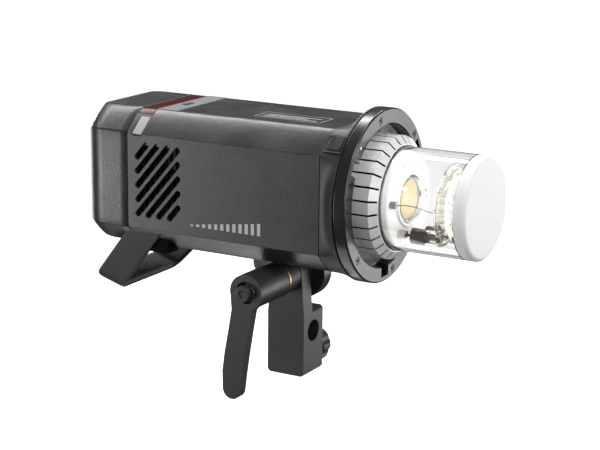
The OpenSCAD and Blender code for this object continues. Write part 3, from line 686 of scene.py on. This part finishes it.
def make_rear_cap():
    seam = CAP_HI.x - CAP_LO.x
    depths = [seam, 36, 30, 25, 21]
    depths += [CAP_CORNER * (1 - math.cos(math.pi / 2 * i / 16)) for i in range(16, -1, -1)]
    loops = [cap_loop(d) for d in depths]
    rim_y, rim_z = 33.1, (CAP_LO.z + 10, CAP_HI.z - 10)
    last = loops[-1]

    def fit_in(p, x):
        """Pulls a point of the rear outline in to the panel's opening."""
        y = max(-rim_y, min(rim_y, p[1]))
        z = max(rim_z[0], min(rim_z[1], p[2]))
        return (x, y, z)

    loops.append([fit_in(p, CAP_LO.x) for p in last])
    loops.append([fit_in(p, CAP_LO.x + 4) for p in last])
    piece = loft("rear_case", loops)
    wall = piece.modifiers.new("wall", "SOLIDIFY")
    wall.thickness = 2.0 * MM
    wall.offset = -1
    shade_evenly(piece, 50)
    stand_for(piece, "head", "shell_plastic", M["shell"], "rear_cap")


def outline_radius(outline, angle):
    """How far the outline lies from the light axis at an angle from the top."""
    direction = (math.sin(angle), math.cos(angle))
    best = 0.0
    for (y0, z0), (y1, z1) in zip(outline, outline[1:] + outline[:1]):
        ey, ez = y1 - y0, z1 - z0
        cross = direction[0] * ez - direction[1] * ey
        if abs(cross) < 1e-9:
            continue
        oy, oz = y0, z0 - OPT_Z
        t = (oy * ez - oz * ey) / cross
        s = (oy * direction[1] - oz * direction[0]) / cross
        if t > 0 and -1e-6 <= s <= 1 + 1e-6:
            best = max(best, t)
    return best


def make_flange():
    outline = mirrored(top_half()) + list(reversed(mirrored(low_half())))
    steps = 240
    angles = [TAU * j / steps for j in range(steps)]
    base = [outline_radius(outline, a) for a in angles]
    x0, x1 = SHELL_HI.x + 0.25, RING_LO.x - 2.0
    recess_r, bore_r = 52.4, 49.0
    sections = []
    for i in range(15):
        s = i / 14
        sections.append([(x0 + (x1 - x0) * s, r + (RING_R - r) * s ** (1.9 if r < RING_R else 1.0), a)
                         for r, a in zip(base, angles)])
    for x, r in ((x1 + 0.2, RING_R), (RING_LO.x - 0.9, RING_R), (RING_LO.x - 0.6, RING_R - 0.3),
                 (RING_LO.x - 0.6, recess_r), (x0 + 4, recess_r), (x0 + 4, bore_r), (x0, bore_r)):
        sections.append([(x, r, a) for a in angles])
    loops = [[(x, r * math.sin(a), OPT_Z + r * math.cos(a)) for x, r, a in section] for section in sections]
    piece = loft("flange", loops, close_rows=True)
    round_edges(piece, 0.25, 2, 50)
    shade_evenly(piece, 50)
    stand_for(piece, "head", "flange_metal", M["flange"], "front_flange")


# ---------------------------------------------------------------- handle

# Where the strap's own frame sits on the lamp, and how far it leans forward.
PIVOT = Vector((-141.2, 0, 54.2))
LEAN = math.radians(16)
# The strap's outline in its own frame: the bar's and the legs' half spread, the legs' height, the corners.
BAR_Y, LEG_Y, LEG_H, CORNER = 40.0, 51.6, 64.5, 9.0


def handle_path(inset, reach):
    """Half of the strap's line across the lamp, from a leg's top to the bar's middle, as Y and height."""
    lean_out = math.atan2(LEG_Y - BAR_Y, LEG_H - CORNER)
    centre = (BAR_Y - CORNER, CORNER)
    radius = CORNER - inset
    bend = [(centre[0] + radius * math.cos(a), centre[1] + radius * math.sin(a))
            for a in (-lean_out - (math.pi / 2 - lean_out) * i / 14 for i in range(15))]
    top = (bend[0][0] + math.tan(lean_out) * (reach - bend[0][1]), reach)
    return line(top, bend[0], 14) + bend[1:] + line(bend[-1], (0, inset), 14)[1:]


def strap_edges(height):
    """Front and rear edge of the strap at a height above the bar, along its lean."""
    def along_edge(low, high):
        return low[0] + (high[0] - low[0]) * (height - low[1]) / (high[1] - low[1])

    front = along_edge((12.2, 3.0), (41.4, 63.0))
    rear = along_edge((-13.4, 3.0), (11.0, 53.5))
    # Towards the bar the rear edge rolls in.
    return front, rear + 0.95 * rounded(9.0, height)


def strap(name, inset, thickness, trim, reach, ribs):
    """The U-shaped strap: its line, swept along its leaning width, as a closed skin."""
    half = handle_path(inset, reach)
    whole = half + [(-y, h) for y, h in reversed(half[:-1])]
    count, across = len(whole), 12
    rib_reach, rib_height, rib_pitch = 33, 0.8, 4.4
    normals = []
    for i in range(count):
        a, b = whole[max(0, i - 1)], whole[min(count - 1, i + 1)]
        d = Vector((b[0] - a[0], b[1] - a[1])).normalized()
        normals.append(Vector((d.y, -d.x)))
    inner_sign = 1 if normals[count // 2].y > 0 else -1
    loops = []
    for (y, h), normal in zip(whole, normals):
        front, rear = strap_edges(max(0, h))
        front, rear = front - trim, rear + trim
        n = normal * inner_sign
        ribbed = ribs and abs(y) < rib_reach and h < inset + 2
        rib = rib_height * math.cos(y * TAU / rib_pitch) if ribbed else 0.0
        widths = [rear + (front - rear) * j / across for j in range(across + 1)]
        depths = [thickness] + [thickness + rib] * (across - 1) + [thickness]
        outer = [(x, y, h) for x in widths]
        inner = [(x, y + n.x * depth, h + n.y * depth) for x, depth in zip(widths, depths)]
        loops.append(outer + inner[::-1])
    turn = Matrix.Rotation(LEAN, 3, "Y")
    loops = [[PIVOT + turn @ Vector(p) for p in loop] for loop in loops]
    piece = loft(name, loops, caps=True)
    round_edges(piece, 0.4 if ribs else 0.9, 4, 50)
    shade_evenly(piece, 60)
    return piece


def make_handle():
    middle, half = 39.7, 6.7
    blocks = [((-112, side * middle - half, 87.2), (-80.5, side * middle + half, 102)) for side in (-1, 1)]
    bosses = boxes("handle_bosses", blocks)
    bevel(bosses, 1.5, 4)
    stand_for(bosses, "head", "handle_plastic", M["mesh"])
    outer = strap("handle_outer", inset=0.0, thickness=3.9, trim=0.0, reach=64.0, ribs=False)
    stand_for(outer, "head", "handle_plastic", M["handle"], "handle_strap")
    liner = strap("handle_liner", inset=3.95, thickness=1.9, trim=1.6, reach=54.0, ribs=True)
    stand_for(liner, "head", "grip_rubber", M["grip"], "handle_grip")


# ---------------------------------------------------------------- flash head

def make_dome():
    x0, x1, r = DOME_LO.x, DOME_HI.x, (DOME_HI.y - DOME_LO.y) / 2
    wall = 2.2
    inner = r - wall
    profile = [(x0, r - 0.5), (x0 + 0.5, r), (x1 - 0.4, r), (x1, r - 0.4), (x1, inner + 0.3),
               (x1 - 0.3, inner), (x0 + 0.3, inner), (x0, inner + 0.3)]
    body = stand_for(lathe("dome_glass", profile, 160), "dome", "clear_glass", M["glass"], "glass_dome")
    body.visible_shadow = False
    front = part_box("frosted_cap")[1].x / MM
    edge, face_wall = 3.2, 2.4
    profile = [(x1 + 0.1, inner), (x1 + 0.1, r - 0.4), (x1 + 0.5, r)]
    for i in range(9):
        a = math.pi / 2 * i / 8
        profile.append((front - edge + edge * math.sin(a), r - edge + edge * math.cos(a)))
    profile += [(front, r * 0.6), (front, r * 0.3), (front, 0.01), (front - face_wall, 0.01),
                (front - face_wall, r - edge), (front - edge, inner)]
    cap = stand_for(lathe("dome_frost", profile, 160), "dome", "frosted_glass", M["frost"], "frosted_cap")
    cap.visible_shadow = False


def tube_route():
    """The flash tube's centre line of leg, bend, ring, bend and leg, and the ring's place and radius."""
    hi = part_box("flash_tube")[1] / MM
    bend = 8.0
    plane, radius = hi.x - TUBE_R, hi.z - OPT_Z - TUBE_R
    middle, gap = math.radians(261), math.radians(86)
    leg_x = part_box("tube_electrodes")[1].x / MM
    halves = []
    for s in (-1, 1):
        a = middle - s * gap / 2
        across = radius * math.cos(a) - s * bend * math.sin(a)
        height = OPT_Z + radius * math.sin(a) + s * bend * math.cos(a)
        at = Vector((across, height))
        pts = [Vector((leg_x, at.x, at.y)), Vector(((leg_x + plane - bend) / 2, at.x, at.y))]
        for i in range(9):
            q = math.pi / 2 * i / 9
            k = s * bend * (1 - math.cos(q))
            x = plane - bend + bend * math.sin(q)
            pts.append(Vector((x, at.x + k * math.sin(a), at.y - k * math.cos(a))))
        for i in range(41):
            q = a - s * (math.pi - gap / 2) * i / 40
            pts.append(Vector((plane, radius * math.cos(q), OPT_Z + radius * math.sin(q))))
        halves.append(pts)
    return halves[0] + list(reversed(halves[1][:-1])), plane, radius


def wire_band(a, plane, radius):
    """The trigger wire's turn round the flash tube at an angle of its ring."""
    centre = Vector((plane, radius * math.cos(a), OPT_Z + radius * math.sin(a)))
    out = Vector((0, math.cos(a), math.sin(a)))
    along = Vector((0, -math.sin(a), math.cos(a)))
    front = Vector((1, 0, 0))
    turns, rise, count = 1.1, 1.6, 32
    wind_r = TUBE_R + 0.25
    points = []
    for i in range(count + 1):
        q = TAU * turns * i / count
        spoke = out * math.cos(q) + front * math.sin(q)
        points.append(centre + along * (rise * i / count) + wind_r * spoke)
    return points


def electrode_rod(name, end):
    """An electrode's rod and ring inside the glass of a leg, from the leg's end."""
    profile = [(0.2, 0.01), (0.2, 3.5), (1.4, 3.5), (1.4, 1.5), (8, 1.5), (8, 2.7), (10.6, 2.7), (11.4, 1.6),
               (11.4, 0.01)]
    steps = 24
    loops = [[(end.x + x, end.y + r * math.sin(TAU * j / steps), end.z + r * math.cos(TAU * j / steps))
              for j in range(steps)] for x, r in profile]
    return loft(name, loops)


def make_tube():
    route, plane, radius = tube_route()
    glass_tube = stand_for(hollow_tube("tube_glass", route, TUBE_R, TUBE_BORE_R), "head", "clear_glass",
                           M["tube_glass"], "flash_tube")
    glass_tube.visible_shadow = False
    wire_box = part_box("trigger_wire")
    post_x = wire_box[0].x / MM + 4.9
    lead = [(post_x + 0.2, -28.5, 142.4), (101, -28.3, 143.2), (108, -27.8, 143), (115, -26.8, 141.6),
            (122, -25.6, 139.6)]
    lead = smooth_route([Vector(p) for p in lead], 6)
    stand_for(tube("trigger_lead", lead, 0.4, 10), "head", "wire_metal", M["wire"])
    for number, degrees in enumerate((150, 163, 176, 189, 202), 1):
        band = wire_band(math.radians(degrees), plane, radius)
        stand_for(tube(f"tube_band_{number}", band, 0.2, 8), "head", "wire_metal", M["wire"])
    for number, end in enumerate((route[0], route[-1]), 1):
        rod = electrode_rod(f"electrode_rod_{number}", end)
        stand_for(rod, "head", "electrode", M["electrode"])


def smooth_route(points, steps):
    """A Catmull-Rom curve through the points."""
    out = []
    for i in range(len(points) - 1):
        p0, p1 = points[max(0, i - 1)], points[i]
        p2, p3 = points[i + 1], points[min(len(points) - 1, i + 2)]
        for k in range(steps):
            t = k / steps
            out.append(0.5 * ((2 * p1) + (p2 - p0) * t + (2 * p0 - 5 * p1 + 4 * p2 - p3) * t * t
                              + (3 * p1 - p0 - 3 * p2 + p3) * t ** 3))
    return out + [points[-1]]


def make_lens():
    lo, hi = (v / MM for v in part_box("led_lens"))
    r, h, wall = (hi.y - lo.y) / 2, hi.x - lo.x, 1.5
    ball = (r * r + h * h) / (2 * h)
    centre = hi.x - ball

    def arc(radius):
        """From the rim to the middle of a cap whose ball has this radius."""
        start = math.asin((lo.x - centre) / radius)
        turns = [start + (math.pi / 2 - start) * i / 16 for i in range(17)]
        return [(centre + radius * math.sin(t), max(0.01, radius * math.cos(t))) for t in turns]

    lens = lathe("lamp_lens", arc(ball) + arc(ball - wall)[::-1], 96)
    stand_for(lens, "head", "clear_glass", M["glass"], "led_lens")
    lens.visible_shadow = False


# ---------------------------------------------------------------- trim

def make_spring():
    lo, hi = (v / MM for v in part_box("lever_spring"))
    tilt_z = (lo.z + hi.z) / 2
    wire_r, coil_r, turns, steps = 0.55, 4.95, 6, 24
    y0, y1 = lo.y + wire_r, hi.y - wire_r
    count = turns * steps
    route = []
    for i in range(count + 1):
        a = TAU * i / steps
        route.append((coil_r * math.cos(a), y0 + (y1 - y0) * i / count, tilt_z + coil_r * math.sin(a)))
    coil = stand_for(tube("spring_coil", route, wire_r, 10), "tilt_bolt", "steel", M["steel"], "lever_spring")
    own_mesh(coil)


def make_prints():
    """Generic marks in place of lettering: an outlined plate on top and rising bars on both sides."""
    top = SHELL_HI.z
    x0, x1, y0, y1 = -24, 30, -21.5, -1
    border = 0.5
    bars = [((x0, y0), (x1, y0 + border)), ((x0, y1 - border), (x1, y1)),
            ((x0, y0), (x0 + border, y1)), ((x1 - border, y0), (x1, y1))]
    bars += [((x0 + 5, y0 + 4 + 4.2 * i), (x1 - 5 - 9 * (i % 2), y0 + 5.4 + 4.2 * i)) for i in range(3)]
    low, high = top - MARK_SUNK, top + MARK_PROUD
    plate = boxes("top_marks", [((a[0], a[1], low), (b[0], b[1], high)) for a, b in bars])
    stand_for(plate, "head", "strip_plastic", M["print"])
    for side, name in ((-1, "side_marks_near"), (1, "side_marks_far")):
        y = side * SIDE_Y
        inner, outer = sorted((y - side * MARK_SUNK, y + side * MARK_PROUD))
        bars = []
        for i in range(12):
            left = -57 + 5.1 * i
            bars.append(((left, inner, 113.5), (left + 2.6, outer, 114.6 + 0.7 * i)))
        stand_for(boxes(name, bars), "head", "strip_plastic", M["print"])


def make_display():
    """A plain layout of bars, a frame and a line, each as Y and Z of two corners."""
    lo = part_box("display_window")[0] / MM
    x = lo.x
    bars = [(-21 + 2.6 * i, 145, -19.4 + 2.6 * i, 147 + 1.5 * i) for i in range(9)]
    bars += [(6, 146, 21, 146.7), (6, 158.5, 21, 159.2), (6, 146, 6.7, 159.2), (20.3, 146, 21, 159.2),
             (-21, 167.4, 21, 167.9)]
    bars += [(9 + 3.4 * i, 149, 11.2 + 3.4 * i, 156) for i in range(3)]
    places = [((x - 0.06, y0, z0), (x + 0.2, y1, z1)) for y0, z0, y1, z1 in bars]
    stand_for(boxes("display_marks", places), "head", "status_lens", M["marks"])


# ---------------------------------------------------------------- CAD nodes that show with rounded edges

# For each node its material, the width of its rounded edges in millimetres, and their segments.
FINISHES = {
    "stand_block": ("cast", 0.9, 4), "block_rosette": ("steel", 0.12, 1), "clamp_pad": ("brass", 0.3, 2),
    "clamp_knob": ("black", 0.5, 3), "tilt_bolt": ("steel", 0.4, 2), "bolt_cap": ("black", 0.4, 3),
    "brass_washer": ("brass", 0.25, 2), "lever_collar": ("cast", 0.5, 3), "tilt_lever": ("lever", 1.1, 4),
    "head_ear": ("shell", 0.8, 3), "ear_rosette": ("steel", 0.12, 1), "ear_cap": ("black", 0.6, 3),
    "side_panel_near": ("panel", 0.35, 3), "side_panel_far": ("panel", 0.35, 3),
    "vent_mesh": ("mesh", 0.1, 1), "shell_screws": ("dark_steel", 0.15, 2), "cup_wall": ("cup", 0.2, 2),
    "bayonet_ring": ("ring", 0.35, 3), "ring_screws": ("dark_steel", 0.15, 2),
    "release_frame": ("flange", 0.3, 3), "release_slider": ("black", 0.2, 2), "lock_pin": ("steel", 0.3, 3),
    "fin_drum": ("fins", 0.25, 2), "base_plate": ("ceramic", 0.3, 3), "led_chip": ("phosphor", 0.2, 2),
    "tube_electrodes": ("electrode", 0.3, 2), "plug_posts": ("post", 0.3, 3),
    "trigger_wire": ("wire", 0.05, 1), "battery_bay": ("black", 0.2, 1), "battery_pack": ("shell", 0.3, 3),
    "battery_strip": ("strip", 0.25, 3), "battery_latch": ("black", 0.3, 3), "rear_panel": ("gloss", 0.4, 3),
    "display_window": ("display", 0.15, 2), "control_dial": ("black", 0.3, 2), "set_button": ("key", 0.5, 3),
    "soft_key_1": ("key", 0.5, 3), "soft_key_2": ("key", 0.5, 3), "soft_key_3": ("key", 0.5, 3),
    "soft_key_4": ("key", 0.5, 3), "test_button": ("red_key", 0.5, 3), "power_button": ("white_key", 0.5, 3),
    "jack_block": ("black", 0.15, 2), "capacitors": ("sleeve", 0.8, 3), "main_board": ("board", 0.1, 1),
    "fan_frame": ("black", 0.4, 2), "fan_rotor": ("black", 0.3, 2),
}


def dress_nodes():
    for node, (material, width, segments) in FINISHES.items():
        piece = NODES[node]
        clear_imported_normals(piece)
        bevel(piece, width, segments)
        dress(piece, M[material])


make_camera()
make_world()
make_studio()
dress_nodes()
make_housing()
make_rear_cap()
make_flange()
make_handle()
make_dome()
make_tube()
make_lens()
make_spring()
make_prints()
make_display()
